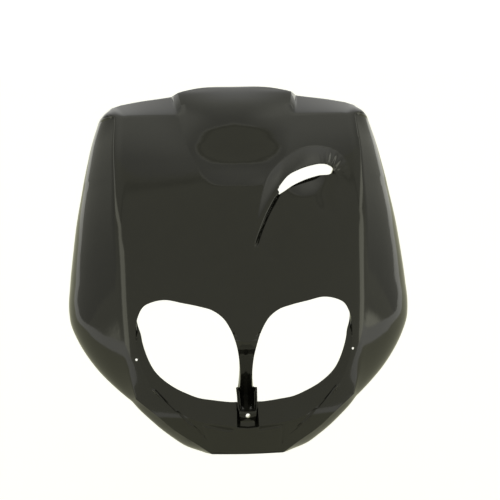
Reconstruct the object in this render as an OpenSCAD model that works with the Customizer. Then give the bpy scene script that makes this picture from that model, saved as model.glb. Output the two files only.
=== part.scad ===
// Front panel of a twin-headlight scooter, moulded in one piece.
// Upright as it sits on the scooter: +Z is up and the face looks toward -Y.
// The origin is the centre of the screw hole at the foot of the bar between the headlights.
// The form is drawn on the leaning face plane: x to the viewer's right, s up the face, h out of it.

/* [Panel] */
// Widest span, across the wings
panel_w = 448; // [400:1:500]
// Height measured along the leaning face
panel_h = 470; // [420:1:520]
// Lean of the face plane back from the vertical, in degrees
lean = 24; // [10:1:35]
// Wall thickness of the moulding
wall = 2.5; // [2:0.1:3.5]

/* [Form] */
// How far the nose stands out in front of the creases
nose_depth = 62; // [40:1:75]
// How far the sides of the wings lie behind the creases
wing_depth = 112; // [70:1:130]
// Height of the step just outside each crease
wing_step = 9; // [0:0.5:12]
// How far the top edge lies behind the nose
top_sweep = 176; // [120:1:190]
// Depth of the hollow under the top edge
dish_depth = 16; // [0:0.5:20]
// Fall of the band that turns back over each shoulder
shoulder_fall = 45; // [25:1:55]
// Depth of the bar between the headlights below the nose
bar_recess = 24; // [12:1:28]

/* [Headlight openings] */
// Depth of the wall round the lower side of each opening
reveal_depth = 64; // [35:1:72]
// Depth of the wall over the top of each opening
brow_depth = 18; // [10:1:30]
// How far the walls close in toward the back
reveal_taper = 1.2; // [0.6:0.1:4]

/* [Air scoop] */
// Height of the hood over the slot
hood_height = 14; // [6:0.5:18]
// Depth of the hollow in front of the slot
scoop_sink = 7; // [0:0.5:9]
// Depth of the lip inside the slot
lip_depth = 12; // [8:0.5:16]

/* [Fixings] */
// Diameter of the screw hole in the foot of the bar
screw_hole_d = 5.5; // [4:0.1:6]
// Diameter of the tube round that hole
screw_tube_d = 10; // [8:0.5:14]
// Length of the tube
screw_hole_len = 11; // [8:0.5:14]
// Diameter of the small hole beside each headlight
side_hole_d = 3; // [2:0.1:3.5]
// Diameter of the two screw posts behind the face
post_d = 10; // [8:0.5:12]
// Length of those posts behind the skin
post_len = 16; // [10:1:22]
// Bore of those posts, for a self-tapping screw
post_bore_d = 3.6; // [3:0.1:4.5]

/* [Hidden] */
$fn = 48;

// Sizes that the outlines below are drawn at
drawn_w = 448;
drawn_h = 470;
x_scale = panel_w / drawn_w;
s_scale = panel_h / drawn_h;

// Corners of the form on the face plane, bottom edge to top edge, centre to side.
// The rows are: bottom edge, foot of the headlights, brow, lower and upper side
// of the air slot, shoulder crease, top edge. The columns are: centre, inner and
// outer side of the openings, crease, side edge.
corners = [
    [[0, -49], [16, -49], [31, -49], [44, -49], [53, -49]],
    [[0, -10.5], [18.5, -10], [118, 37], [137, 19], [142, 14]],
    [[0, 127], [28.5, 120], [124.5, 135], [156, 139], [224, 130]],
    [[0, 266], [48, 272], [119, 299.5], [161.5, 290], [205.4, 283]],
    [[0, 274], [45.5, 277.5], [121, 305], [161.5, 299], [203, 296]],
    [[0, 392], [75, 379], [140, 381], [158.5, 380], [183, 375]],
    [[0, 421.6], [82, 410], [151, 400.6], [164, 396.8], [172.5, 391]]
];

// Points that a row passes between two of its corners
eye_foot = [[41, -8], [62, -5], [77, 4.5], [98, 18.5]];
eye_brow = [[41.5, 129.5], [56, 134], [77, 138.5], [100, 142.5], [114, 140]];
slot_low = [[52, 274], [68, 284], [84, 291], [101, 296]];
slot_high = [[51, 286], [59, 295], [76, 304], [92, 309], [104, 311], [115, 309.5]];
tower_top = [[30, 421.5], [50, 420], [66, 415.8]];
shoulder_top = [[100, 407.7], [125, 404.8]];

// Points that a column passes between two of its corners
eye_inner = [[11.5, 3], [8.2, 24], [7.5, 48], [9.2, 70], [13.5, 90], [20, 107]];
eye_outer = [[130, 60], [134.3, 80], [135.5, 98], [133.3, 119]];
face_inner = [[36, 170], [41, 225]];
face_outer = [[127, 200], [122, 255]];
dish_side = [[51, 302], [63, 332], [71, 360]];
hood_side = [[130, 345]];
chin_crease = [[63, -36], [86, -21.5], [110, -2]];
eye_crease = [[148.5, 65], [153, 105]];
face_crease = [[158.5, 195], [161.5, 245]];
top_crease = [[161.5, 340]];
chin_side = [[77.5, -40], [92.5, -30], [105.7, -20], [117.3, -10], [133.5, 5]];
wing_low = [[163, 30], [184.5, 50], [200.5, 70], [212.7, 90], [221.3, 110]];
wing_mid = [[222.3, 160], [218, 200], [213, 240]];
wing_high = [[198, 320], [191, 350]];
wing_corner = [[180.5, 381]];

// Row and column paths as [inner points, point before, point after]
row_paths = [
    [[], [], [], []],
    [[], [eye_foot, eye_inner[0], eye_outer[0]], [], []],
    [[], [eye_brow, eye_inner[5], eye_outer[3]], [], []],
    [[], [slot_low, [45, 276], [121, 302]], [], []],
    [[], [slot_high, [45, 275], [121, 301]], [], []],
    [[], [], [], []],
    [[tower_top], [shoulder_top], [], []]
];
col_paths = [
    [[], [], [], [], [], []],
    [[], [eye_inner, eye_foot[0], eye_brow[0]], [face_inner], [], [dish_side], []],
    [[], [eye_outer, eye_foot[3], eye_brow[4]], [face_outer], [], [hood_side], []],
    [[chin_crease], [eye_crease, undef, face_crease[0]], [face_crease, eye_crease[1]], [],
        [top_crease], []],
    [[chin_side], [wing_low, undef, wing_mid[0]], [wing_mid, wing_low[4]], [], [wing_high],
        [wing_corner]]
];

// Mesh cells between one column of corners and the next, and between the rows
col_cells = [3, 9, 3, 6];
row_cells = [6, 13, 9, 2, 8, 4];

// Depth of the face along its centre line, as [s, part of top_sweep behind the nose]
centre_line = [[-60, 0.16], [-50, 0.125], [-12, 0.05], [40, 0.015], [90, 0], [130, 0.02], [170, 0.07],
    [220, 0.17], [270, 0.31], [320, 0.5], [370, 0.72], [430, 1]];
// Fall from the centre line to the crease, as [s, part of nose_depth]
crease_line = [[-60, 0.97], [15, 1], [80, 1.03], [150, 0.97], [260, 0.71], [355, 0.48], [430, 0.42]];
// Fall from the crease to the side edge, as [s, part of wing_depth]
side_line = [[-60, 0.28], [-50, 0.28], [-10, 0.24], [14, 0.24], [30, 0.42], [50, 0.6], [90, 0.84],
    [130, 1], [200, 1], [300, 0.86], [350, 0.7], [395, 0.5], [430, 0.4]];
// Front of the bar below the nose, as [s, part of bar_recess]
bar_line = [[-14, -0.2], [-9, 0], [10, 0], [21, 0.45], [45, 0.6], [66, 0.5], [78, 0], [86, -0.5],
    [96, -0.62], [130, -0.62]];
// Half width of the dish, as [s, x]
dish_line = [[280, 40], [305, 51], [331, 63], [365, 72.5], [403, 80], [430, 85]];
// Front edge of the hood from its tail round the slot, as [x, s, width, height]
hood_line = [[13, 200, 3, 0], [20, 221, 8, 0.15], [31, 246, 13, 0.4], [46.5, 272.5, 20, 0.75],
    [54, 284, 22, 0.9], [62, 292, 23, 1], [77, 300.5, 27, 1], [92, 305, 29, 1], [106, 307, 28, 1],
    [115, 305, 20, 0.9], [119.5, 301, 15, 0.6], [124, 286, 6, 0]];

nose_h = 14;
face_bow = 1.7;
tower_half_w = 76;
tower_blend = 12;
tower_fall = 16;
step_part = 0.25;
corner_power = 6;
sink_reach = 38;
post_x = 96;
post_s = 345;
side_holes = [[-135.2, 68.5], [136, 76.5]];
side_hole_len = 10;
corner_fill = 5;
corner_reach = 20;

n_col = col_cells[0] + col_cells[1] + col_cells[2] + col_cells[3];
n_row = sum_to(row_cells, len(row_cells));

function sum_to(v, n) = n == 0 ? 0 : v[n - 1] + sum_to(v, n - 1);
function unit(v) = norm(v) > 0 ? v / norm(v) : v;
function ramp(a, b, x) = let (t = min(max((x - a) / (b - a), 0), 1)) t * t * (3 - 2 * t);

// Running lengths along a list of points
function lengths(p) = [for (i = 0, d = 0; i < len(p); d = d + (i + 1 < len(p) ? norm(p[i + 1] - p[i]) : 0),
    i = i + 1) d];

// Cubic between b and c, with a before and e after
function cubic(a, b, c, e, u) = let (
        d = norm(c - b),
        d0 = norm(b - a),
        d2 = norm(e - c),
        m1 = ((b - a) / d0 * d + (c - b) / d * d0) / (d0 + d) * d,
        m2 = ((c - b) / d * d2 + (e - c) / d2 * d) / (d + d2) * d
    ) (2 * u * u * u - 3 * u * u + 1) * b + (u * u * u - 2 * u * u + u) * m1
        + (3 * u * u - 2 * u * u * u) * c + (u * u * u - u * u) * m2;

// Smooth curve through points at each fraction in steps
function curve(p, steps, before, after) = let (
        n = len(p),
        q = concat([is_undef(before) ? 2 * p[0] - p[1] : before], p,
            [is_undef(after) ? 2 * p[n - 1] - p[n - 2] : after]),
        run = lengths(p)
    ) [for (t = steps) let (
        d = t * run[n - 1],
        hits = [for (i = [0 : n - 2]) if (run[i] <= d) i],
        k = hits[len(hits) - 1]
    ) cubic(q[k], q[k + 1], q[k + 2], q[k + 3], (d - run[k]) / (run[k + 1] - run[k]))];

// Value at x in a list of [x, value], eased between entries
function table(t, x) = let (
        n = len(t),
        c = min(max(x, t[0][0]), t[n - 1][0]),
        hits = [for (i = [0 : n - 2]) if (t[i][0] <= c) i],
        k = hits[len(hits) - 1]
    ) cubic(k > 0 ? t[k - 1] : 2 * t[k] - t[k + 1], t[k], t[k + 1],
        k + 2 < n ? t[k + 2] : 2 * t[k + 1] - t[k], (c - t[k][0]) / (t[k + 1][0] - t[k][0]))[1];

// Steps across each band: the wings use an arc, so their cells gather at the edge
function even_steps(n) = [for (i = [0 : n]) i / n];
function col_steps(c) = c < 3 ? even_steps(col_cells[c]) : [for (t = even_steps(col_cells[c])) sin(90 * t)];
function row_curve(r, c) = let (p = row_paths[r][c])
    curve(concat([corners[r][c]], len(p) > 0 ? p[0] : [], [corners[r][c + 1]]), col_steps(c), p[1], p[2]);
function col_curve(c, r) = let (p = col_paths[c][r])
    curve(concat([corners[r][c]], len(p) > 0 ? p[0] : [], [corners[r + 1][c]]), even_steps(row_cells[r]),
        p[1], p[2]);

// Patch between four curves
function patch(low, high, left, right, us, vs) = let (m = len(us) - 1, n = len(vs) - 1)
    [for (j = [0 : n]) [for (i = [0 : m]) let (u = us[i], v = vs[j])
        (1 - v) * low[i] + v * high[i] + (1 - u) * left[j] + u * right[j]
            - (1 - u) * (1 - v) * low[0] - u * (1 - v) * low[m] - (1 - u) * v * high[0] - u * v * high[m]]];
patches = [for (r = [0 : 5]) [for (c = [0 : 3]) patch(row_curve(r, c), row_curve(r + 1, c),
    col_curve(c, r), col_curve(c + 1, r), col_steps(c), even_steps(row_cells[r]))]];

// Row and column numbers where the bands start, and the band of each number
row_at = [for (r = [0 : 6]) sum_to(row_cells, r)];
col_at = [for (c = [0 : 4]) sum_to(col_cells, c)];
row_band = [for (r = [0 : 5]) for (k = [1 : row_cells[r]]) r];
col_band = [for (c = [0 : 3]) for (k = [1 : col_cells[c]]) c];
function half_point(j, i) = let (r = row_band[min(j, n_row - 1)], c = col_band[min(i, n_col - 1)])
    patches[r][c][j - row_at[r]][i - col_at[c]];
half = [for (j = [0 : n_row]) [for (i = [0 : n_col]) half_point(j, i)]];

// Depth of the plain face
function face_depth(x, s) = nose_h - top_sweep * table(centre_line, s)
    - nose_depth * table(crease_line, s) * pow(abs(x) / 150, face_bow);

// Depth with the dish and the bar
function middle_depth(x, s, j, i) = let (
        dish = dish_depth * ramp(285, 350, s) * max(1 - pow(x / table(dish_line, s), 2), 0),
        face = face_depth(x, s) - dish,
        bar = -bar_recess * table(bar_line, s) - 1.5 * pow(x / 8, 2)
    ) j >= row_at[1] && j <= row_at[2] && i <= col_at[1] && s < 100 ? min(face, bar) : face;

// Nearest place on the hood line, as [distance, fraction along, piece number, side]
function hood_near(p) = let (
        all = [for (k = [0 : len(hood_line) - 2]) let (
            a = [hood_line[k][0], hood_line[k][1]],
            b = [hood_line[k + 1][0], hood_line[k + 1][1]],
            t = min(max((p - a) * (b - a) / ((b - a) * (b - a)), 0), 1),
            g = p - a - t * (b - a)
        ) [norm(g), t, k, (b - a)[0] * (p - a)[1] - (b - a)[1] * (p - a)[0]]],
        nearest = min([for (e = all) e[0]])
    ) [for (e = all) if (e[0] == nearest) e][0];

// Rise of the hood above the face and sink of the floor in front of it
function hood_rise(x, s) = let (
        e = hood_near([x, s]),
        edge = hood_line[e[2]] + e[1] * (hood_line[e[2] + 1] - hood_line[e[2]]),
        q = min(e[0] / max(edge[2], 1), 1)
    ) e[3] >= -0.01 ? hood_height * edge[3] * sin(90 * (1 - q))
        : -scoop_sink * edge[3] * (1 - ramp(0, sink_reach, e[0]));

// Depth at a mesh point, with wings, shoulder band and hood
function depth(x, s, j, i, side) = let (
        crease = half[j][col_at[3]],
        at_crease = middle_depth(crease[0], crease[1], j, col_at[3]),
        f = (i - col_at[3]) / col_cells[3],
        full_fall = wing_depth * table(side_line, half[j][n_col][1]),
        step = min(wing_step, full_fall * 0.3) * ramp(14, 60, crease[1]) * ramp(0, step_part, f),
        body = i < col_at[3] ? middle_depth(x, s, j, i) : at_crease,
        wing = i < col_at[3] ? 0 : step + (full_fall - step) * (1 - cos(90 * f)),
        v = max((j - row_at[5]) / row_cells[5], 0),
        shoulder = ramp(tower_half_w - tower_blend, tower_half_w + tower_blend, x),
        band = shoulder_fall * shoulder * pow(v, 1.2)
            + tower_fall * (1 - shoulder) * (1 - sqrt(1 - 0.98 * v * v)),
        raised = side > 0 && i <= col_at[3] && s > 190 && s < 360 ? hood_rise(x, s) : 0
    ) body - pow(pow(wing, corner_power) + pow(band, corner_power), 1 / corner_power) + raised;

// From the face plane to the upright frame
function place(p) = [p[0] * x_scale, p[1] * s_scale * sin(lean) - p[2] * cos(lean),
    p[1] * s_scale * cos(lean) + p[2] * sin(lean)];

// Front of the whole panel, left edge to right edge
skin = [for (j = [0 : n_row]) [for (k = [-n_col : n_col]) let (
        i = abs(k),
        side = k < 0 ? -1 : 1,
        p = half[j][i]
    ) place([side * p[0], p[1], depth(p[0], p[1], j, i, side)])]];

// Openings as [first column, last column, first row, last row]
right_eye = [n_col + col_at[1], n_col + col_at[2], row_at[1], row_at[2]];
left_eye = [n_col - col_at[2], n_col - col_at[1], row_at[1], row_at[2]];
slot = [n_col + col_at[1], n_col + col_at[2], row_at[3], row_at[4]];
openings = [right_eye, left_eye, slot];
function is_open(j, k) = k < 0 || j < 0 || k >= 2 * n_col || j >= n_row
    || len([for (o = openings) if (k >= o[0] && k < o[1] && j >= o[2] && j < o[3]) 1]) > 0;

// Mean outward direction at each point, from the solid cells round it
function cell_normal(j, k) = is_open(j, k) ? [0, 0, 0]
    : unit(cross(skin[j + 1][k + 1] - skin[j][k], skin[j + 1][k] - skin[j][k + 1]));
normals = [for (j = [-1 : n_row]) [for (k = [-1 : 2 * n_col]) cell_normal(j, k)]];
function point_normal(j, k) = unit(normals[j][k] + normals[j + 1][k] + normals[j][k + 1]
    + normals[j + 1][k + 1]);

// Points round an opening, counter-clockwise from the front, as [row, column]
function loop(o) = concat([for (k = [o[0] : o[1] - 1]) [o[2], k]], [for (j = [o[2] : o[3] - 1]) [j, o[1]]],
    [for (k = [o[1] : -1 : o[0] + 1]) [o[3], k]], [for (j = [o[3] : -1 : o[2] + 1]) [j, o[0]]]);

// Walls of the headlights run straight back, the lip of the slot runs into the face
back = [0, 1, 0];
inward = [0, cos(lean), -sin(lean)];
function wall_dir(n) = n < 2 ? back : inward;
function wall_part(x, s) = (1 - ramp(75, 125, s)) * max(ramp(6, 30, abs(x)), 1 - 0.5 * ramp(15, 60, s))
    * (1 - 0.4 * ramp(105, 135, abs(x)));
function wall_place(e) = half[e[0]][abs(e[1] - n_col)];
function wall_len(n, e) = let (p = wall_place(e)) n == 2 ? lip_depth
    : brow_depth + (reveal_depth - brow_depth) * wall_part(p[0], p[1])
        + cos(lean) * (depth(p[0], p[1], e[0], abs(e[1] - n_col), 0) - face_depth(p[0], p[1]));
function wall_close(n, e) = let (p = wall_place(e)) n == 2 ? 0
    : reveal_taper * wall_part(p[0], p[1]) + corner_fill * (1 - ramp(0, corner_reach, norm(p - corners[1][1])));
rings = 3;
ring_parts = [0.12, 0.5, 1];

// Direction away from the opening, square to its wall
function away(n, pts, m) = let (c = len(pts))
    unit(cross(wall_dir(n), pts[(m + 1) % c] - pts[(m + c - 1) % c]));
loops = [for (o = openings) loop(o)];
loop_points = [for (l = loops) [for (e = l) skin[e[0]][e[1]]]];
ring_points = [for (n = [0 : 2]) [for (part = ring_parts) [for (m = [0 : len(loops[n]) - 1])
    loop_points[n][m] + part * wall_len(n, loops[n][m]) * wall_dir(n)
        - part * wall_close(n, loops[n][m]) * away(n, loop_points[n], m)]]];
ring_back = [for (n = [0 : 2]) [for (r = [0 : rings - 1]) [for (m = [0 : len(loops[n]) - 1])
    ring_points[n][r][m] + wall * away(n, loop_points[n], m)]]];

// Where a grid point lies on the edge of an opening, its inner side also steps away from the wall
function edge_shift(j, k) = let (
        found = [for (n = [0 : 2]) for (m = [0 : len(loops[n]) - 1]) if (loops[n][m] == [j, k])
            away(n, loop_points[n], m)]
    ) len(found) > 0 ? wall * found[0] : [0, 0, 0];
function on_edge(j, k) = len([for (o = openings) if (k >= o[0] && k <= o[1] && j >= o[2] && j <= o[3]) 1]) > 0;
skin_back = [for (j = [0 : n_row]) [for (k = [0 : 2 * n_col])
    skin[j][k] - wall * point_normal(j, k) + (on_edge(j, k) ? edge_shift(j, k) : [0, 0, 0])]];

// One list of points: front, rings, then the same again for the back
wide = 2 * n_col + 1;
skin_count = wide * (n_row + 1);
ring_at = [for (n = [0 : 3]) skin_count + rings * sum_to([for (l = loops) len(l)], n)];
front_count = ring_at[3];
points = concat([for (row = skin) each row], [for (o = ring_points) for (r = o) each r],
    [for (row = skin_back) each row], [for (o = ring_back) for (r = o) each r]);

function at(j, k) = j * wide + k;
function ring_id(n, r, m) = let (c = len(loops[n]), w = m % c)
    r < 0 ? at(loops[n][w][0], loops[n][w][1]) : ring_at[n] + r * c + w;
function both(a, b, c, d) = let (f = front_count) [[a, b, c], [a, c, d],
    [a + f, c + f, b + f], [a + f, d + f, c + f]];
function rim(a, b) = let (f = front_count) [[a, b, b + f], [a, b + f, a + f]];

skin_faces = [for (j = [0 : n_row - 1]) for (k = [0 : 2 * n_col - 1]) if (!is_open(j, k))
    each (k < n_col ? both(at(j, k), at(j + 1, k), at(j + 1, k + 1), at(j, k + 1))
        : both(at(j + 1, k), at(j + 1, k + 1), at(j, k + 1), at(j, k)))];
ring_faces = [for (n = [0 : 2]) for (r = [-1 : rings - 2]) for (m = [0 : len(loops[n]) - 1])
    each both(ring_id(n, r, m + 1), ring_id(n, r, m), ring_id(n, r + 1, m), ring_id(n, r + 1, m + 1))];
ring_rims = [for (n = [0 : 2]) for (m = [0 : len(loops[n]) - 1])
    each rim(ring_id(n, rings - 1, m + 1), ring_id(n, rings - 1, m))];
edge = concat([for (k = [0 : wide - 2]) at(0, k)], [for (j = [0 : n_row - 1]) at(j, wide - 1)],
    [for (k = [wide - 1 : -1 : 1]) at(n_row, k)], [for (j = [n_row : -1 : 1]) at(j, 0)]);
edge_rims = [for (m = [0 : len(edge) - 1]) each rim(edge[m], edge[(m + 1) % len(edge)])];

module shell() {
    polyhedron(points = points, faces = concat(skin_faces, ring_faces, ring_rims, edge_rims),
        convexity = 12);
}

// Turns a part drawn along +Z so that it points out of the face plane at the origin
module out_of_face() {
    rotate([90 - lean, 0, 0])
        children();
}

// Tube for the screw at the foot of the bar
module screw_tube() {
    out_of_face()
        translate([0, 0, 1 - screw_hole_len])
            cylinder(d = screw_tube_d, h = screw_hole_len);
}

// Outward direction of the plain face at a place on it
function face_at(x, s) = place([x, s, face_depth(x, s)]);
function face_out(x, s) = unit(cross(face_at(x + 1, s) - face_at(x - 1, s),
    face_at(x, s + 1) - face_at(x, s - 1)));

// Screw post behind the face, square to the skin
module along(x, s) {
    out = face_out(x, s);
    translate(face_at(x, s))
        rotate([0, acos(out[2]), atan2(out[1], out[0])])
            children();
}

module front_panel() {
    color("#2f2f2a")
        difference() {
            union() {
                shell();
                screw_tube();
                for (side = [-1, 1])
                    along(side * post_x, post_s)
                        translate([0, 0, -wall - post_len])
                            cylinder(d = post_d, h = post_len + wall / 2);
            }
            out_of_face()
                translate([0, 0, -2 * screw_hole_len])
                    cylinder(d = screw_hole_d, h = 4 * screw_hole_len);
            for (side = [-1, 1])
                along(side * post_x, post_s)
                    translate([0, 0, -wall - post_len - 1])
                        cylinder(d = post_bore_d, h = post_len + 1);
            for (p = side_holes)
                translate(face_at(p[0], p[1]))
                    out_of_face()
                        translate([0, 0, 4 - side_hole_len])
                            cylinder(d = side_hole_d, h = side_hole_len);
        }
}

front_panel();
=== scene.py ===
import math

import bmesh
import bpy
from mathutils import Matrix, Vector


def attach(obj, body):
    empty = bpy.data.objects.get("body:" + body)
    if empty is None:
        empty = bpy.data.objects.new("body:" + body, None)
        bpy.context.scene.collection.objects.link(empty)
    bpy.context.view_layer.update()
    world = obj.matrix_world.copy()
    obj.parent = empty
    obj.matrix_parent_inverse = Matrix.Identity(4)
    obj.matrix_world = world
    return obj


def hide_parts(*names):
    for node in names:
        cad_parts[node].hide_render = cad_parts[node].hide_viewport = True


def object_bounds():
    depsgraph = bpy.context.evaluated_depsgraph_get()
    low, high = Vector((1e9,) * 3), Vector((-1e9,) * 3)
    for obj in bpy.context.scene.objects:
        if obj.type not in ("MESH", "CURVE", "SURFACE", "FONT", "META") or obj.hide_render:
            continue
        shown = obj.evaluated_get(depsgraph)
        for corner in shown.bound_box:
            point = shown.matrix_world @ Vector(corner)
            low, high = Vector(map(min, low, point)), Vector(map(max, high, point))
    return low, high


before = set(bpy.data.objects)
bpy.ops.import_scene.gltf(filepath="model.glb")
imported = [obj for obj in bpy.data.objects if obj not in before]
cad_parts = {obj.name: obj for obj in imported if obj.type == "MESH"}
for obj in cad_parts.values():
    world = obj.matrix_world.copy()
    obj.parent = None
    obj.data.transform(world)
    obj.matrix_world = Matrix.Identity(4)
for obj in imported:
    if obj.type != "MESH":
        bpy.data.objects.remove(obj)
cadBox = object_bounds()

mm = 0.001  # outlines are drawn in millimetres
hair = 1e-4  # grid places closer than this count as the same

# The face plane leans back: x runs to the viewer's right, s up the face and h out of it.
# The centre screw hole is the origin, as in the frame.
face = {
    "lean": 24,
    "wall": 2.5,
    "noseStand": 14,
    "noseDepth": 62,
    "noseHalf": 150,  # x at which the nose's depth counts in full
    "faceBow": 1.7,
    "topSweep": 176,
    "wingDepth": 112,
    "wingSlope": 0.62,  # part of its depth that the wing falls evenly, the rest is its rounded edge
    "wingPower": 4,
    "cornerFrom": (4.6, 5.6),  # rows over which the wing's crease fades into the rounded corner
    "cornerPower": 2.4,
    "towerRise": 11,
    "towerPower": 1,
    "shoulderFall": 38,
    "shoulderCurve": 1.2,
    "shoulderMore": 0.8,  # added to the curve over these columns
    "shoulderColumns": (2.3, 3),
    "towerBlend": 4,
    "towerFall": 8,
    "towerCurve": 0.98,
    "barRecess": 24,
    "barRound": 1.5,
    "barHalf": 8,
    "barTop": 100,
    "edgeRound": 0.7,
    "roundSteps": 2,
    "sharpAngle": 75,
    "smoothAngle": 28,
    "creaseRoll": 2.3,  # the face rolls over beside its crease
    "creaseReach": 13,
    "rollFrom": (0, 60),
}
lean = math.radians(face["lean"])


def onFace(x, s, h):
    back = s * math.sin(lean) - h * math.cos(lean)
    up = s * math.cos(lean) + h * math.sin(lean)
    return Vector((x, back, up)) * mm


# Camera, where the photograph was taken from

camera = {
    "azimuth": -3.675,
    "elevation": 24,
    "roll": 0.363,
    "target": (6.79, 202.4),  # x and s on the face, mm
    "distance": 1.985,
    "focalPixels": 1619,
    "imagePixels": 500,
    "sensor": 36,
    "clipEnd": 30,
}


def addCamera():
    a = math.radians(camera["azimuth"])
    e = math.radians(camera["elevation"])
    back = Vector((math.sin(a) * math.cos(e), -math.cos(a) * math.cos(e), math.sin(e)))
    data = bpy.data.cameras.new("camera")
    data.sensor_width = camera["sensor"]
    data.lens = camera["sensor"] * camera["focalPixels"] / camera["imagePixels"]
    data.clip_end = camera["clipEnd"]
    eye = bpy.data.objects.new("camera", data)
    bpy.context.collection.objects.link(eye)
    eye.location = onFace(*camera["target"], 0) + back * camera["distance"]
    eye.rotation_euler = back.to_track_quat("Z", "Y").to_euler()
    eye.rotation_euler.rotate_axis("Z", math.radians(camera["roll"]))
    bpy.context.scene.camera = eye
    bpy.context.scene.view_settings.view_transform = "Standard"
    print("camera ready")


# Outlines on the face plane. Rows run from the bottom edge to the top edge: bottom edge, foot of
# the headlights, brow, lower and upper side of the air slot, shoulder crease, top edge. Columns run
# from the centre to the side: centre, inner and outer side of the openings, crease, side edge.

layout = {
    "corners": [
        [(0, -49), (16, -49), (31, -49), (44, -49), (53, -49)],
        [(0, -14), (11, -13), (118, 36), (137, 19), (142, 14)],
        [(0, 127), (28.5, 120), (124.5, 135), (156, 139), (224, 130)],
        [(0, 266), (48, 272), (119, 299.5), (161.5, 290), (205.4, 283)],
        [(0, 274), (45.5, 277.5), (121, 305), (161.5, 299), (203, 296)],
        [(0, 392), (75, 379), (140, 381), (158.5, 380), (183, 375)],
        [(0, 421.6), (82, 410), (151, 400.6), (164, 396.8), (172.5, 391)],
    ],
    "eyeFoot": [(24, -12), (41, -10), (60, -7), (78, 0.5), (98, 15.5)],
    "eyeBrow": [(41.5, 129.5), (56, 134), (77, 138.5), (100, 142.5), (114, 140)],
    "slotLow": [(52, 274), (68, 284), (84, 291), (101, 296)],
    "slotHigh": [(51, 286), (59, 295), (76, 304), (92, 309), (104, 311), (115, 309.5)],
    "slotLowEnds": [(45, 276), (121, 302)],
    "slotHighEnds": [(45, 275), (121, 301)],
    "faceMiddle": (0, 200),
    "towerTop": [(30, 421.5), (50, 420), (66, 415.8)],
    "shoulderTop": [(100, 407.7), (125, 404.8)],
    "eyeInner": [(10.3, 3), (8.2, 24), (7.5, 48), (9.2, 70), (13.5, 90), (20, 107)],
    "eyeOuter": [(129.5, 60), (134.3, 80), (135.5, 98), (133.3, 119)],
    "faceInner": [(36, 170), (41, 225)],
    "faceOuter": [(127, 200), (122, 255)],
    "dishSide": [(51, 302), (63, 332), (71, 360)],
    "hoodSide": [(130, 345)],
    "chinCrease": [(63, -36), (86, -21.5), (110, -2)],
    "eyeCrease": [(148.5, 65), (153, 105)],
    "faceCrease": [(158.5, 195), (161.5, 245)],
    "topCrease": [(161.5, 340)],
    "chinSide": [(77.5, -40), (92.5, -30), (105.7, -20), (117.3, -10), (133.5, 5)],
    "wingLow": [(163, 30), (184.5, 50), (200.5, 70), (212.7, 90), (221.3, 110)],
    "wingMid": [(222.3, 160), (218, 200), (213, 240)],
    "wingHigh": [(198, 320), (191, 350)],
    "wingCorner": [(180.5, 381)],
    # cells between one column of corners and the next, and between the rows
    "columnCells": (12, 36, 12, 24),
    "rowCells": (24, 52, 36, 8, 32, 16),
}

# Depths as parts of the values above, each a list of (place, part)
profiles = {
    "centre": [(-60, 0.1447), (-50, 0.125), (-31, 0.0875), (-12, 0.05), (40, 0.015), (90, 0),
               (130, 0.02), (170, 0.07), (220, 0.17), (270, 0.31), (320, 0.5), (370, 0.72), (430, 1)],
    "crease": [(-60, 0.97), (15, 1), (80, 1.0), (150, 0.94), (260, 0.71), (355, 0.48), (430, 0.42)],
    "side": [(-60, 0.28), (-50, 0.28), (-10, 0.24), (14, 0.24), (30, 0.42), (50, 0.6), (90, 0.84),
             (130, 1), (200, 1), (300, 0.86), (350, 0.7), (395, 0.5), (430, 0.4)],
    "bar": [(-14, 0), (-9, 0), (10, 0), (15, 0.8), (20, 1.25), (26, 1.15), (50, 0.62), (66, 0.2),
            (75, -0.08), (84, -0.45), (92, -0.6), (100, -0.62), (130, -0.62)],
    "tower": [(270, 0), (285, 0), (296, -0.24), (307, -0.5), (320, -0.5), (345, -0.05), (365, 0.26),
              (379, 0.28), (395, -0.18), (408, -1), (422, -2.2), (430, -3)],
    "towerHalf": [(280, 40), (305, 51), (331, 63), (365, 72.5), (403, 80), (430, 85)],
}

walls = {
    "reveal": 67,
    "brow": 18,
    "slope": 40,
    "sideSlope": 18,  # added to the slope towards the outer side
    "taper": 1.2,
    "sideTaper": 5,
    "cornerFill": 2,
    "cornerReach": 12,
    "lip": 12,
    "rings": (0.12, 0.35, 0.65, 1),
    # ranges of x or s over which the lengths and slopes change, and how much of them goes
    "lowFade": (75, 125),
    "middleFade": (6, 30),
    "footFade": (15, 60),
    "footPart": 0.5,
    "sideFade": (70, 135),
    "sidePart": 0.5,
    "outerFade": (90, 135),
}

scoop = {
    "rise": 14,
    "sink": 7,
    "reach": 38,
    "floorFrom": (15, 50),
    "floorTo": (90, 124),
    "span": (190, 360),
    # front edge of the hood from its tail round the slot, as (x, s, width, part of the rise)
    "edge": [(13, 200, 3, 0), (20, 221, 8, 0.15), (31, 246, 13, 0.4), (46.5, 272.5, 20, 0.75),
             (54, 284, 22, 0.9), (62, 292, 23, 1), (77, 300.5, 27, 1), (92, 305, 29, 1),
             (104, 307, 28, 0.92), (113, 306.5, 26, 0.66), (119, 303.5, 24, 0.36), (124, 298, 20, 0.12),
             (127, 289, 16, 0.03), (128, 280, 12, 0), (128, 270, 10, 0)],
    "trench": 4,  # depth and half width of the groove that runs down from the slot
    "trenchHalf": 1.8,
    "trenchFrom": (200, 214),
    "trenchTo": (266, 278),
    "trenchSide": (50, 60),
    "edgeSteps": 48,
    "lipRound": 1.2,
    "fineReach": 7,
    # grid columns and rows whose cells are split once more
    "fineColumns": (0.2, 3),
    "fineRows": (2.3, 4.6),
}


def ramp(a, b, x):
    t = min(max((x - a) / (b - a), 0), 1)
    return t * t * (3 - 2 * t)


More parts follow.
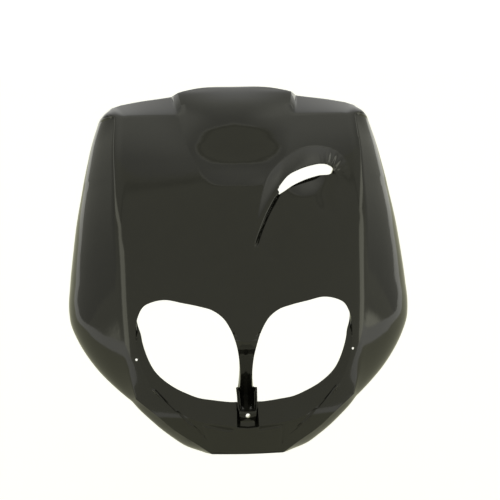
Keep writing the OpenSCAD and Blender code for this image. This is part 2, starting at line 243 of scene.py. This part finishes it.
def cubic(a, b, c, e, u):
    d = (c - b).length
    d0 = (b - a).length
    d2 = (e - c).length
    m1 = ((b - a) / d0 * d + (c - b) / d * d0) / (d0 + d) * d
    m2 = ((c - b) / d * d2 + (e - c) / d2 * d) / (d + d2) * d
    u2 = u * u
    u3 = u2 * u
    return (2 * u3 - 3 * u2 + 1) * b + (u3 - 2 * u2 + u) * m1 + (3 * u2 - 2 * u3) * c + (u3 - u2) * m2


class Path:  # smooth curve through points
    def __init__(self, points, before=None, after=None):
        p = [Vector(q) for q in points]
        first = Vector(before) if before else 2 * p[0] - p[1]
        last = Vector(after) if after else 2 * p[-1] - p[-2]
        self.points = [first] + p + [last]
        self.run = [0]
        for one, two in zip(p, p[1:]):
            self.run.append(self.run[-1] + (two - one).length)
        self.places = [q.x for q in p]

    def piece(self, k, u):
        return cubic(*self.points[k:k + 4], u)

    def at(self, t):  # at a fraction of the length
        d = t * self.run[-1]
        k = max(i for i in range(len(self.run) - 1) if self.run[i] <= d + 1e-9)
        return self.piece(k, (d - self.run[k]) / (self.run[k + 1] - self.run[k]))

    def value(self, x):  # second value at a given first value
        x = min(max(x, self.places[0]), self.places[-1])
        k = max(i for i in range(len(self.places) - 1) if self.places[i] <= x)
        return self.piece(k, (x - self.places[k]) / (self.places[k + 1] - self.places[k])).y


curves = {name: Path(points) for name, points in profiles.items()}


def makePaths():
    p = layout
    c = p["corners"]
    between = {  # inner points of a row or column, and the points before and after it
        ("row", 1, 1): (p["eyeFoot"], p["eyeInner"][0], p["eyeOuter"][0]),
        ("row", 2, 1): (p["eyeBrow"], p["eyeInner"][5], p["eyeOuter"][3]),
        ("row", 3, 1): (p["slotLow"], *p["slotLowEnds"]),
        ("row", 4, 1): (p["slotHigh"], *p["slotHighEnds"]),
        ("row", 6, 0): (p["towerTop"], None, None),
        ("row", 6, 1): (p["shoulderTop"], None, None),
        ("column", 1, 1): (p["eyeInner"], p["eyeFoot"][0], p["eyeBrow"][0]),
        ("column", 1, 2): (p["faceInner"], None, None),
        ("column", 1, 4): (p["dishSide"], None, None),
        ("column", 2, 1): (p["eyeOuter"], p["eyeFoot"][4], p["eyeBrow"][4]),
        ("column", 2, 2): (p["faceOuter"], None, None),
        ("column", 2, 4): (p["hoodSide"], None, None),
        ("column", 3, 0): (p["chinCrease"], None, None),
        ("column", 3, 1): (p["eyeCrease"], None, p["faceCrease"][0]),
        ("column", 3, 2): (p["faceCrease"], p["eyeCrease"][1], None),
        ("column", 3, 4): (p["topCrease"], None, None),
        ("column", 4, 0): (p["chinSide"], None, None),
        ("column", 4, 1): (p["wingLow"], None, p["wingMid"][0]),
        ("column", 4, 2): (p["wingMid"], p["wingLow"][4], None),
        ("column", 4, 4): (p["wingHigh"], None, None),
        ("column", 4, 5): (p["wingCorner"], None, None),
    }
    paths = {}
    for r in range(7):
        for k in range(4):
            inner, before, after = between.get(("row", r, k), ([], None, None))
            paths["row", r, k] = Path([c[r][k]] + inner + [c[r][k + 1]], before, after)
    for k in range(5):
        for r in range(6):
            inner, before, after = between.get(("column", k, r), ([], None, None))
            paths["column", k, r] = Path([c[r][k]] + inner + [c[r + 1][k]], before, after)
    return paths


paths = makePaths()
pathMemo = {}


def pathAt(key, t):
    memo = (key, round(t, 6))
    if memo not in pathMemo:
        pathMemo[memo] = paths[key].at(t)
    return pathMemo[memo]


def spot(row, column):  # place on the face plane of a grid point, right half
    r = min(int(row), 5)
    k = min(int(column), 3)
    v = row - r
    u = column - k
    if k == 3:
        u = math.sin(math.pi / 2 * u)  # the wing's cells gather at its edge
    low = pathAt(("row", r, k), u)
    high = pathAt(("row", r + 1, k), u)
    left = pathAt(("column", k, r), v)
    right = pathAt(("column", k + 1, r), v)
    c = [[Vector(layout["corners"][r + i][k + j]) for j in (0, 1)] for i in (0, 1)]
    return ((1 - v) * low + v * high + (1 - u) * left + u * right
            - (1 - u) * (1 - v) * c[0][0] - u * (1 - v) * c[0][1]
            - (1 - u) * v * c[1][0] - u * v * c[1][1])


def faceDepth(x, s):
    return (face["noseStand"] - face["topSweep"] * curves["centre"].value(s)
            - face["noseDepth"] * curves["crease"].value(s) * (abs(x) / face["noseHalf"]) ** face["faceBow"])


def middleDepth(x, s, row, column):
    inside = max(1 - (x / curves["towerHalf"].value(s)) ** 2, 0) ** face["towerPower"]
    plain = faceDepth(x, s) + face["towerRise"] * curves["tower"].value(s) * inside
    if 1 <= row <= 2 and column <= 1 and s < face["barTop"]:
        bar = -face["barRecess"] * curves["bar"].value(s) - face["barRound"] * (x / face["barHalf"]) ** 2
        return min(plain, bar)
    return plain


chin = {
    "seams": [[(-20, -18), (-28, -17), (-56, -11), (-48, -43)], [(14, -17), (43, -14), (41, -46)]],
    "halfWidth": 65,
    "toRow": 1.02,
    "fineTo": 0.9,  # grid row and column up to which cells near a seam are split once more
    "fineColumn": 2,
    "seam": 0.7,
    "seamHalf": 1.5,
    "fineReach": 4,
}


def nearSeam(x, s):  # distance from the thin seams of the chin
    p = Vector((x, s))
    best = math.inf
    for seam in chin["seams"]:
        for one, two in zip(seam, seam[1:]):
            a, b = Vector(one), Vector(two)
            t = min(max((p - a).dot(b - a) / (b - a).length_squared, 0), 1)
            best = min(best, (p - a - t * (b - a)).length)
    return best


scoopPath = Path(scoop["edge"])
scoopEdge = [scoopPath.at(i / scoop["edgeSteps"]) for i in range(scoop["edgeSteps"] + 1)]


def nearEdge(x, s):  # distance from the hood's front edge, its width and part there, and the side
    best = None
    p = Vector((x, s))
    for one, two in zip(scoopEdge, scoopEdge[1:]):
        a = Vector(one[:2])
        b = Vector(two[:2])
        t = min(max((p - a).dot(b - a) / (b - a).length_squared, 0), 1)
        gap = (p - a - t * (b - a)).length
        if best is None or gap < best[0] - 1e-9:
            width = one[2] + t * (two[2] - one[2])
            part = one[3] + t * (two[3] - one[3])
            side = (b - a).x * (p - a).y - (b - a).y * (p - a).x
            best = (gap, width, part, side)
    return best


def hoodRise(x, s):
    gap, width, part, side = nearEdge(x, s)
    up = scoop["rise"] * part * math.cos(math.pi / 2 * min(gap / max(width, 1), 1))
    down = (-scoop["sink"] * (1 - ramp(0, scoop["reach"], gap)) * ramp(*scoop["floorFrom"], x)
            * (1 - ramp(*scoop["floorTo"], x)))
    share = ramp(-scoop["lipRound"], 0, gap if side >= 0 else -gap)
    tail = (ramp(*scoop["trenchFrom"], s) * (1 - ramp(*scoop["trenchTo"], s))
            * (1 - ramp(*scoop["trenchSide"], x)))
    trench = scoop["trench"] * tail * math.exp(-(gap / scoop["trenchHalf"]) ** 2)
    return down + (up - down) * share - trench


rowMemo = {}


def creaseOf(row):  # crease point, depth there and the fall to the side edge
    key = round(row, 6)
    if key not in rowMemo:
        c = spot(row, 3)
        rowMemo[key] = (c, middleDepth(c.x, c.y, row, 3),
                        face["wingDepth"] * curves["side"].value(spot(row, 4).y))
    return rowMemo[key]


def depth(x, s, row, column, side):
    crease, atCrease, fullFall = creaseOf(row)
    body = middleDepth(x, s, row, column) if column < 3 else atCrease
    near = 1 - max(crease.x - x, 0) / face["creaseReach"] if column < 3 else 1
    body -= (face["creaseRoll"] * max(near, 0) ** 2 * ramp(*face["rollFrom"], crease.y)
             * (1 - ramp(*face["cornerFrom"], row)))
    wing = 0
    if column > 3:
        across = math.sin(math.pi / 2 * (column - 3))
        fade = ramp(*face["cornerFrom"], row)
        even, n = face["wingSlope"] * (1 - fade), face["wingPower"] * (1 - fade) + 2 * fade
        wing = fullFall * (even * across + (1 - even) * (1 - (1 - across ** n) ** (1 / n)))
    v = max(row - 5, 0)
    half = curves["towerHalf"].value(s)
    shoulder = ramp(half - face["towerBlend"], half + face["towerBlend"], x)
    start = face["shoulderCurve"] + face["shoulderMore"] * ramp(*face["shoulderColumns"], column)
    band = (face["shoulderFall"] * shoulder * v ** start
            + face["towerFall"] * (1 - shoulder) * (1 - math.sqrt(1 - face["towerCurve"] * v * v)))
    raised = 0
    if side > 0 and column <= 3 and scoop["span"][0] < s < scoop["span"][1]:
        raised = hoodRise(x, s)
    if s < 0 and x < chin["halfWidth"] and row < chin["toRow"]:
        raised = -chin["seam"] * math.exp(-(nearSeam(side * x, s) / chin["seamHalf"]) ** 2)
    n = face["cornerPower"]
    return body - (wing ** n + band ** n) ** (1 / n) + raised


def skinPoint(row, column):  # column is negative on the viewer's left
    side = -1 if column < 0 else 1
    p = spot(row, abs(column))
    return onFace(side * p.x, p.y, depth(p.x, p.y, row, abs(column), side))


# Openings in the grid: lowest and highest column and row, with the way their walls run

slotWay = Vector((0, math.cos(lean), -math.sin(lean)))
openings = {
    "rightEye": {"columns": (1, 2), "rows": (1, 2), "way": Vector((0, 1, 0))},
    "leftEye": {"columns": (-2, -1), "rows": (1, 2), "way": Vector((0, 1, 0))},
    "slot": {"columns": (1, 2), "rows": (3, 4), "way": slotWay},
}


def deselectAll():
    if bpy.context.object and bpy.context.object.mode != "OBJECT":
        bpy.ops.object.mode_set(mode="OBJECT")
    bpy.ops.object.select_all(action="DESELECT")


def useOnly(obj):
    deselectAll()
    obj.select_set(True)
    bpy.context.view_layer.objects.active = obj


def lines(cells):
    return [band + i / n for band, n in enumerate(cells) for i in range(n)] + [len(cells)]


def wallPart(x, s):
    low = 1 - ramp(*walls["lowFade"], s)
    middle = max(ramp(*walls["middleFade"], abs(x)), 1 - walls["footPart"] * ramp(*walls["footFade"], s))
    return low * middle * (1 - walls["sidePart"] * ramp(*walls["sideFade"], abs(x)))


def wallLength(name, column, row):
    if name == "slot":
        return walls["lip"]
    p = spot(row, abs(column))
    return (walls["brow"] + (walls["reveal"] - walls["brow"]) * wallPart(p.x, p.y)
            + math.cos(lean) * (depth(p.x, p.y, row, abs(column), 0) - faceDepth(p.x, p.y)))


def wallRun(name, column, row):  # the walls of the headlight openings slope up towards the back
    length = wallLength(name, column, row)
    if name == "slot":
        return slotWay * length
    p = spot(row, abs(column))
    low = 1 - ramp(*walls["lowFade"], p.y)
    slope = math.radians(low * (walls["slope"] + walls["sideSlope"] * ramp(*walls["sideFade"], p.x)))
    length *= math.sin(lean) / math.sin(lean + slope)
    return Vector((0, math.cos(slope), math.sin(slope))) * length


def wallClose(name, column, row):
    if name == "slot":
        return 0
    p = spot(row, abs(column))
    corner = Vector(layout["corners"][1][1])
    outer = ramp(*walls["outerFade"], p.x) * (1 - ramp(*walls["lowFade"], p.y))
    return (walls["taper"] * wallPart(p.x, p.y) + walls["sideTaper"] * outer
            + walls["cornerFill"] * (1 - ramp(0, walls["cornerReach"], (p - corner).length)))


def perimeterPlace(opening, column, row):  # how far round the opening, counter-clockwise
    (c0, c1), (r0, r1) = opening["columns"], opening["rows"]
    u = (column - c0) / (c1 - c0)
    v = (row - r0) / (r1 - r0)
    if v < hair and u < 1 - hair:
        return u
    if u > 1 - hair and v < 1 - hair:
        return 1 + v
    if v > 1 - hair and u > hair:
        return 2 + 1 - u
    return 3 + 1 - v


def placeKey(co):
    return tuple(round(c, 7) for c in co)


def addSkin():
    columns = lines(layout["columnCells"])
    columns = [-c for c in reversed(columns)] + columns[1:]
    rows = lines(layout["rowCells"])
    bpy.ops.mesh.primitive_grid_add(x_subdivisions=len(columns) - 1, y_subdivisions=len(rows) - 1,
                                    size=1)
    skin = bpy.context.object
    skin.name = "frontPanel"
    for v in skin.data.vertices:  # flat first, with grid column and row as its x and y
        i = round((v.co.x + 0.5) * (len(columns) - 1))
        j = round((v.co.y + 0.5) * (len(rows) - 1))
        v.co = (columns[i], rows[j], 0)
    bpy.ops.object.mode_set(mode="EDIT")
    bpy.ops.mesh.select_mode(type="FACE")
    bm = bmesh.from_edit_mesh(skin.data)

    def choose(test):
        for f in bm.faces:
            f.select_set(test(f.calc_center_median()))
        bmesh.update_edit_mesh(skin.data)

    fineC, fineR = scoop["fineColumns"], scoop["fineRows"]
    choose(lambda c: fineC[0] < c.x < fineC[1] and fineR[0] < c.y < fineR[1])
    bpy.ops.mesh.subdivide(number_cuts=1)

    def byEdge(c):
        if not (fineC[0] < c.x < fineC[1] and fineR[0] < c.y < fineR[1]):
            return False
        p = spot(c.y, c.x)
        return nearEdge(p.x, p.y)[0] < scoop["fineReach"]

    def bySeam(c):
        if c.y > chin["fineTo"] or abs(c.x) > chin["fineColumn"]:
            return False
        p = spot(c.y, abs(c.x))
        return nearSeam(math.copysign(p.x, c.x), p.y) < chin["fineReach"]

    for near in (byEdge, bySeam):
        bm = bmesh.from_edit_mesh(skin.data)
        choose(near)
        bpy.ops.mesh.subdivide(number_cuts=1)
    bm = bmesh.from_edit_mesh(skin.data)

    def inOpening(c):
        return any(o["columns"][0] < c.x < o["columns"][1] and o["rows"][0] < c.y < o["rows"][1]
                   for o in openings.values())

    choose(inOpening)
    bpy.ops.mesh.delete(type="FACE")
    bm = bmesh.from_edit_mesh(skin.data)
    bm.verts.index_update()
    grid = {}
    for v in bm.verts:
        column, row = v.co.x, v.co.y
        v.co = skinPoint(row, column)
        grid[v.index] = (column, row)
    bmesh.update_edit_mesh(skin.data)
    return skin, grid


def addWalls(skin, grid):
    bpy.ops.mesh.select_mode(type="EDGE")
    loops = set()
    for name, o in openings.items():
        (c0, c1), (r0, r1) = o["columns"], o["rows"]
        bm = bmesh.from_edit_mesh(skin.data)
        bm.verts.index_update()
        bm.verts.ensure_lookup_table()
        onLoop = {}
        for i, (column, row) in grid.items():
            inside = c0 - hair < column < c1 + hair and r0 - hair < row < r1 + hair
            v = bm.verts[i]
            if inside and any(e.is_boundary for e in v.link_edges):
                onLoop[i] = (column, row)
        order = sorted(onLoop, key=lambda i: perimeterPlace(o, *onLoop[i]))
        base = {}
        for n, i in enumerate(order):
            before = bm.verts[order[n - 1]].co
            after = bm.verts[order[(n + 1) % len(order)]].co
            away = o["way"].cross(after - before).normalized()
            run = wallRun(name, *onLoop[i]) * mm
            close = wallClose(name, *onLoop[i]) * mm
            base[i] = (bm.verts[i].co.copy(), run - away * close)
        for e in bm.edges:
            e.select_set(e.is_boundary and all(v.index in onLoop for v in e.verts))
            e.smooth = e.smooth and not e.select
        if name != "slot":
            loops.update(order)
        current = {placeKey(base[i][0]): i for i in order}
        for part in walls["rings"]:
            bmesh.update_edit_mesh(skin.data)
            bpy.ops.mesh.extrude_edges_move(TRANSFORM_OT_translate={"value": (0, 0, 0)})
            bm = bmesh.from_edit_mesh(skin.data)
            moved = {}
            for v in bm.verts:
                if v.select:
                    i = current[placeKey(v.co)]
                    start, run = base[i]
                    v.co = start + run * part
                    moved[placeKey(v.co)] = i
            current = moved
        bmesh.update_edit_mesh(skin.data)
    bpy.ops.mesh.select_all(action="SELECT")
    bpy.ops.mesh.normals_make_consistent(inside=False)
    bpy.ops.object.mode_set(mode="OBJECT")
    middle = min(skin.data.polygons, key=lambda f: (f.center - onFace(*layout["faceMiddle"], 0)).length)
    if middle.normal.y > 0:
        skin.data.flip_normals()
    return loops


def applyModifier(obj, kind, **settings):
    m = obj.modifiers.new(kind.lower(), kind)
    for key, value in settings.items():
        setattr(m, key, value)
    useOnly(obj)
    bpy.ops.object.modifier_apply(modifier=m.name)


def roundEdges(skin, leave):
    useOnly(skin)
    bpy.ops.object.mode_set(mode="EDIT")
    bpy.ops.mesh.select_mode(type="EDGE")
    bm = bmesh.from_edit_mesh(skin.data)
    limit = math.radians(face["sharpAngle"])
    for e in bm.edges:
        onLoop = all(v.index in leave for v in e.verts)
        e.select_set(len(e.link_faces) == 2 and not onLoop and e.calc_face_angle_signed() > limit)
    bmesh.update_edit_mesh(skin.data)
    bpy.ops.mesh.bevel(offset=face["edgeRound"] * mm, segments=face["roundSteps"], clamp_overlap=False)
    bpy.ops.object.mode_set(mode="OBJECT")


def keepInside(obj):  # within the solid's own box
    for v in obj.data.vertices:
        v.co = [min(max(c, low), high) for c, low, high in zip(v.co, *cadBox)]


fixings = {
    "tube": 10,
    "tubeBore": 5.5,
    "tubeLength": 11,
    "tubeStand": 1,
    "post": 10,
    "postBore": 3.6,
    "postLength": 16,
    "postAt": (96, 345),
    "boreOver": 1,  # how far a post's bore starts beyond the post's end
    "tubeBoreReach": 4,  # length of the tube's bore in tube lengths
    "sideHole": 3,
    "sideHoles": [(-135.2, 68.5), (136, 76.5)],
    "sideHoleRun": (-6, 4),
    "sides": 48,
}


def addRound(name, diameter, length, centre, way):
    deselectAll()
    bpy.ops.mesh.primitive_cylinder_add(vertices=fixings["sides"], radius=diameter / 2 * mm,
                                        depth=length * mm, location=centre,
                                        rotation=way.to_track_quat("Z", "Y").to_euler())
    rod = bpy.context.object
    rod.name = name
    bpy.ops.object.transform_apply(location=True, rotation=True, scale=True)
    return rod


def combine(panel, tool, operation):
    applyModifier(panel, "BOOLEAN", operation=operation, object=tool, solver="FAST")
    bpy.data.objects.remove(tool, do_unlink=True)


def faceOut(x, s):
    across = onFace(x + 1, s, faceDepth(x + 1, s)) - onFace(x - 1, s, faceDepth(x - 1, s))
    up = onFace(x, s + 1, faceDepth(x, s + 1)) - onFace(x, s - 1, faceDepth(x, s - 1))
    return across.cross(up).normalized()


def addFixings(panel):
    out = onFace(0, 0, 1).normalized()
    f = fixings
    middle = f["tubeStand"] - f["tubeLength"] / 2
    combine(panel, addRound("tube", f["tube"], f["tubeLength"], out * middle * mm, out), "UNION")
    for side in (-1, 1):
        x, s = f["postAt"]
        way = faceOut(side * x, s)
        skinAt = onFace(side * x, s, faceDepth(x, s))
        reach = face["wall"] + f["postLength"]
        post = f["postLength"] + face["wall"] / 2
        centre = skinAt - way * (reach - post / 2) * mm
        combine(panel, addRound("post", f["post"], post, centre, way), "UNION")
        bore = f["postLength"] + f["boreOver"]
        centre = skinAt - way * (reach + f["boreOver"] - bore / 2) * mm
        combine(panel, addRound("postBore", f["postBore"], bore, centre, way), "DIFFERENCE")
    through = f["tubeBoreReach"] * f["tubeLength"]
    combine(panel, addRound("tubeBore", f["tubeBore"], through, Vector(), out), "DIFFERENCE")
    low, high = f["sideHoleRun"]
    for x, s in f["sideHoles"]:
        centre = onFace(x, s, faceDepth(x, s) + (low + high) / 2)
        combine(panel, addRound("sideHole", f["sideHole"], high - low, centre, out), "DIFFERENCE")


# Gloss plastic

plastic = {
    "colour": (0.0045, 0.0045, 0.0038),
    "paler": (0.0075, 0.0075, 0.0062),
    "roughness": 0.06,
    "roughnessSpread": 0.03,
    "mottleScale": 60,
    "mottleDetail": 3,
    "peelScale": 180,
    "peelDetail": 1,
    "peelDepth": 0.00002,
    "ior": 1.5,
}


class Wire:  # a socket that takes part in sums
    def __init__(self, tree, socket):
        self.tree = tree
        self.socket = socket

    def maths(self, operation, *values):
        node = self.tree.nodes.new("ShaderNodeMath")
        node.operation = operation
        for slot, value in zip(node.inputs, values):
            if isinstance(value, Wire):
                self.tree.links.new(value.socket, slot)
            else:
                slot.default_value = value
        return Wire(self.tree, node.outputs[0])

    def __add__(self, other):
        return self.maths("ADD", self, other)

    def __mul__(self, other):
        return self.maths("MULTIPLY", self, other)

    def __rsub__(self, other):
        return self.maths("SUBTRACT", other, self)

    def __sub__(self, other):
        return self.maths("SUBTRACT", self, other)

    __radd__ = __add__
    __rmul__ = __mul__

    def atLeast(self, other):
        return self.maths("MAXIMUM", self, other)

    def between(self, low, high):  # 0 below low, 1 above high, eased
        node = self.tree.nodes.new("ShaderNodeMapRange")
        node.interpolation_type = "SMOOTHSTEP"
        self.tree.links.new(self.socket, node.inputs["Value"])
        node.inputs["From Min"].default_value = low
        node.inputs["From Max"].default_value = high
        return Wire(self.tree, node.outputs["Result"])


class Recipe:  # builds the nodes of one material or world
    def __init__(self, tree):
        self.tree = tree
        tree.nodes.clear()

    def node(self, kind, settings=None, **sockets):
        n = self.tree.nodes.new(kind)
        for key, value in (settings or {}).items():
            setattr(n, key, value)
        for key, value in sockets.items():
            self.plug(n, key, value)
        return n

    def plug(self, n, key, value):
        slot = n.inputs[key] if isinstance(key, int) else n.inputs[key.replace("_", " ")]
        if isinstance(value, Wire):
            self.tree.links.new(value.socket, slot)
        else:
            slot.default_value = value

    def wire(self, n, output=0):
        return Wire(self.tree, n.outputs[output])

    def blend(self, factor, one, two):
        n = self.node("ShaderNodeMix", {"data_type": "RGBA"})
        self.plug(n, 0, factor)
        self.plug(n, 6, one)
        self.plug(n, 7, two)
        return self.wire(n, 2)

    def scale(self, colour, factor):
        n = self.node("ShaderNodeVectorMath", {"operation": "SCALE"}, Vector=colour, Scale=factor)
        return self.wire(n)


def makePlastic():
    m = bpy.data.materials.new("glossPlastic")
    m.use_nodes = True
    r = Recipe(m.node_tree)
    place = r.wire(r.node("ShaderNodeTexCoord"), "Object")
    mottle = r.wire(r.node("ShaderNodeTexNoise", Vector=place, Scale=plastic["mottleScale"],
                           Detail=plastic["mottleDetail"]))
    peel = r.wire(r.node("ShaderNodeTexNoise", Vector=place, Scale=plastic["peelScale"],
                         Detail=plastic["peelDetail"]))
    bump = r.wire(r.node("ShaderNodeBump", Strength=1, Distance=plastic["peelDepth"], Height=peel))
    colour = r.blend(mottle, (*plastic["colour"], 1), (*plastic["paler"], 1))
    shader = r.node("ShaderNodeBsdfPrincipled", Base_Color=colour, IOR=plastic["ior"], Normal=bump,
                    Roughness=mottle * plastic["roughnessSpread"] + plastic["roughness"])
    out = r.node("ShaderNodeOutputMaterial")
    m.node_tree.links.new(shader.outputs[0], out.inputs["Surface"])
    return m


# Light: a pale tent all round with an olive front, which only reflections and soft light show

tent = {
    "front": (0.72, 0.72, 0.57),
    "above": (0.72, 0.72, 0.63),
    "rear": (0.68, 0.68, 0.65),
    "side": (0.5, 0.5, 0.43),
    "radius": 25,
    "segments": 96,
    "rings": 48,
    "turn": 0.064,  # the tent stands turned by the camera's azimuth
    # The ranges below are parts of a direction's back, up and aside.
    "edgeAt": 0.15,  # where the front sheet ends overhead, and how that end bows to the sides
    "edgeBow": 0.2,
    "edgeWidth": 0.02,
    "softAside": (0.5, 0.8),  # the end is softer at the sides
    "softPart": 0.5,
    "softBack": (-0.3, 0.5),
    "sideFrom": (0.4, 0.7),
    "aboveFrom": (0.4, 0.8),
    "lobe": 0.6,  # a lamp to each side behind the top
    "lobeBack": (0.05, 0.35),
    "lobeUp": (0.6, 0.85),
    "lobeAside": (0.1, 0.3),
    "strip": 1.8,  # an upright and a level lamp strip beside the panel
    "stripFrom": (-0.15, -0.11),
    "stripTo": (0.02, 0.06),
    "stripTop": (0.42, 0.46),
    "stripAside": (0.5, 0.55),
    "leastAside": 0.01,
    "levelFrom": (0.4, 0.43),
    "levelTo": (0.5, 0.53),
    "levelAside": (0.55, 0.6),
    "levelBack": (-0.08, -0.03),
    "line": 0.45,  # a pale and a dark line along the front sheet's end, ranges from that end
    "lineFrom": (0, 0.01),
    "lineTo": (0.02, 0.03),
    "lineAside": (0.18, 0.24),
    "dark": 0.22,
    "darkFrom": (-0.04, -0.03),
    "darkTo": (-0.01, 0),
}

stage = {
    "drop": 0.45,  # how far the floor lies below the panel, which is held up
    "size": 12,
    "colour": (0.95, 0.95, 0.95),
    "glow": 0.5,  # added to the floor's own light where it is seen, so that it keeps the shadow
    # painted shade: tone of the darker sheet under the panel, which only reflections show
    "paintedShadeTone": (0.6, 0.6, 0.54),
    "cloth": (0.95, 0.95, 0.82),
    # a darker sheet under the panel, painted shade standing in for the shade beneath it, and pale cloths
    # round it, lying on the floor where only reflections show them: name, from, to, colour
    "cloths": [("paintedShadeSheet", (-0.45, -0.95), (0.45, 0.1), "paintedShadeTone"),
               ("frontCloth", (-3, -6), (3, -0.95), "cloth"),
               ("leftCloth", (-3, -0.95), (-0.45, 3), "cloth"),
               ("rightCloth", (0.45, -0.95), (3, 3), "cloth"),
               ("backCloth", (-0.45, 0.1), (0.45, 3), "cloth")],
    "clothLift": 0.01,
}


def seenRay(r):  # camera, glossy and transmission rays
    light = r.node("ShaderNodeLightPath")
    return (r.wire(light, "Is Camera Ray").atLeast(r.wire(light, "Is Glossy Ray"))
            .atLeast(r.wire(light, "Is Transmission Ray")))


def makeWorld():
    world = bpy.data.worlds.new("whiteRoom")
    bpy.context.scene.world = world
    world.use_nodes = True
    r = Recipe(world.node_tree)
    colour = r.blend(seenRay(r), (*tent["front"], 1), (1, 1, 1, 1))
    shader = r.node("ShaderNodeBackground", Color=colour, Strength=1)
    out = r.node("ShaderNodeOutputWorld")
    world.node_tree.links.new(shader.outputs[0], out.inputs["Surface"])


def addTent():
    deselectAll()
    bpy.ops.mesh.primitive_uv_sphere_add(segments=tent["segments"], ring_count=tent["rings"],
                                         radius=tent["radius"])
    dome = bpy.context.object
    dome.name = "tent"
    bpy.ops.object.shade_smooth()
    m = bpy.data.materials.new("tentCloth")
    m.use_nodes = True
    r = Recipe(m.node_tree)
    place = r.wire(r.node("ShaderNodeTexCoord"), "Object")
    direction = r.wire(r.node("ShaderNodeVectorMath", {"operation": "NORMALIZE"}, Vector=place))
    way = r.node("ShaderNodeSeparateXYZ", Vector=direction)
    aside = r.wire(way, "X").maths("ABSOLUTE", r.wire(way, "X"))
    up = r.wire(way, "Z")
    back = r.wire(way, "Y") - r.wire(way, "X") * tent["turn"]
    place = back + aside * tent["edgeBow"]
    edge = tent["edgeAt"]

    def fromEnd(name):
        low, high = tent[name]
        return place.between(edge + low, edge + high)

    soft = aside.between(*tent["softAside"]) * tent["softPart"]
    zone = (place - soft * tent["softPart"]).between(edge, edge + tent["edgeWidth"])
    zone = zone * (1 - soft) + place.between(*tent["softBack"]) * soft
    low = r.blend(aside.between(*tent["sideFrom"]), (*tent["rear"], 1), (*tent["side"], 1))
    overhead = r.blend(up.between(*tent["aboveFrom"]), low, (*tent["above"], 1))
    colour = r.blend(zone, (*tent["front"], 1), overhead)
    lobe = (back.between(*tent["lobeBack"]) * up.between(*tent["lobeUp"])
            * aside.between(*tent["lobeAside"]) * tent["lobe"])
    turn = back.maths("DIVIDE", back, aside.atLeast(tent["leastAside"]))
    upright = (turn.between(*tent["stripFrom"]) * (1 - turn.between(*tent["stripTo"]))
               * (1 - up.between(*tent["stripTop"])))
    level = (up.between(*tent["levelFrom"]) * (1 - up.between(*tent["levelTo"]))
             * aside.between(*tent["levelAside"]) * back.between(*tent["levelBack"]))
    strips = upright.atLeast(level) * aside.between(*tent["stripAside"]) * tent["strip"]
    line = (fromEnd("lineFrom") * (1 - fromEnd("lineTo"))
            * (1 - aside.between(*tent["lineAside"])) * tent["line"])
    dark = fromEnd("darkFrom") * (1 - fromEnd("darkTo")) * tent["dark"]
    colour = r.scale(colour, lobe + strips + line + 1 - dark)
    shader = r.node("ShaderNodeEmission", Color=colour, Strength=1)
    out = r.node("ShaderNodeOutputMaterial")
    m.node_tree.links.new(shader.outputs[0], out.inputs["Surface"])
    dome.data.materials.append(m)
    dome.visible_camera = False


def addFloor():
    low = cadBox[0][2] - stage["drop"]
    deselectAll()
    bpy.ops.mesh.primitive_plane_add(size=stage["size"], location=(0, 0, low))
    floor = bpy.context.object
    floor.name = "floor"
    m = bpy.data.materials.new("paleFloor")
    m.use_nodes = True
    r = Recipe(m.node_tree)
    glow = r.blend(seenRay(r), (0, 0, 0, 1), (1, 1, 1, 1))
    shader = r.node("ShaderNodeBsdfPrincipled", Base_Color=(*stage["colour"], 1), Roughness=1,
                    Emission_Color=glow, Emission_Strength=stage["glow"])
    out = r.node("ShaderNodeOutputMaterial")
    m.node_tree.links.new(shader.outputs[0], out.inputs["Surface"])
    floor.data.materials.append(m)
    # the darker sheet under the panel is painted shade for the reflections; the others are pale cloths
    for name, (x0, y0), (x1, y1), colour in stage["cloths"]:
        middle = ((x0 + x1) / 2, (y0 + y1) / 2, low + stage["clothLift"])
        bpy.ops.mesh.primitive_plane_add(size=1, location=middle)
        cloth = bpy.context.object
        cloth.name = name
        cloth.scale = (x1 - x0, y1 - y0, 1)
        m = bpy.data.materials.new(name)
        m.use_nodes = True
        r = Recipe(m.node_tree)
        shader = r.node("ShaderNodeBsdfDiffuse", Color=(*stage[colour], 1))
        out = r.node("ShaderNodeOutputMaterial")
        m.node_tree.links.new(shader.outputs[0], out.inputs["Surface"])
        cloth.data.materials.append(m)
        cloth.visible_camera = False
        cloth.visible_diffuse = False


addCamera()
deselectAll()
skin, grid = addSkin()
loops = addWalls(skin, grid)
print("skin and walls drawn")
applyModifier(skin, "SOLIDIFY", thickness=face["wall"] * mm, offset=-1, use_quality_normals=True)
roundEdges(skin, loops)
keepInside(skin)
print("wall thickness and round edges done")
addFixings(skin)
print("fixings done")
useOnly(skin)
bpy.ops.object.shade_smooth_by_angle(angle=math.radians(face["smoothAngle"]))
skin.data.materials.clear()
skin.data.materials.append(makePlastic())
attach(skin, "root")
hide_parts("front_panel")
makeWorld()
addTent()
addFloor()
print("light and floor ready")
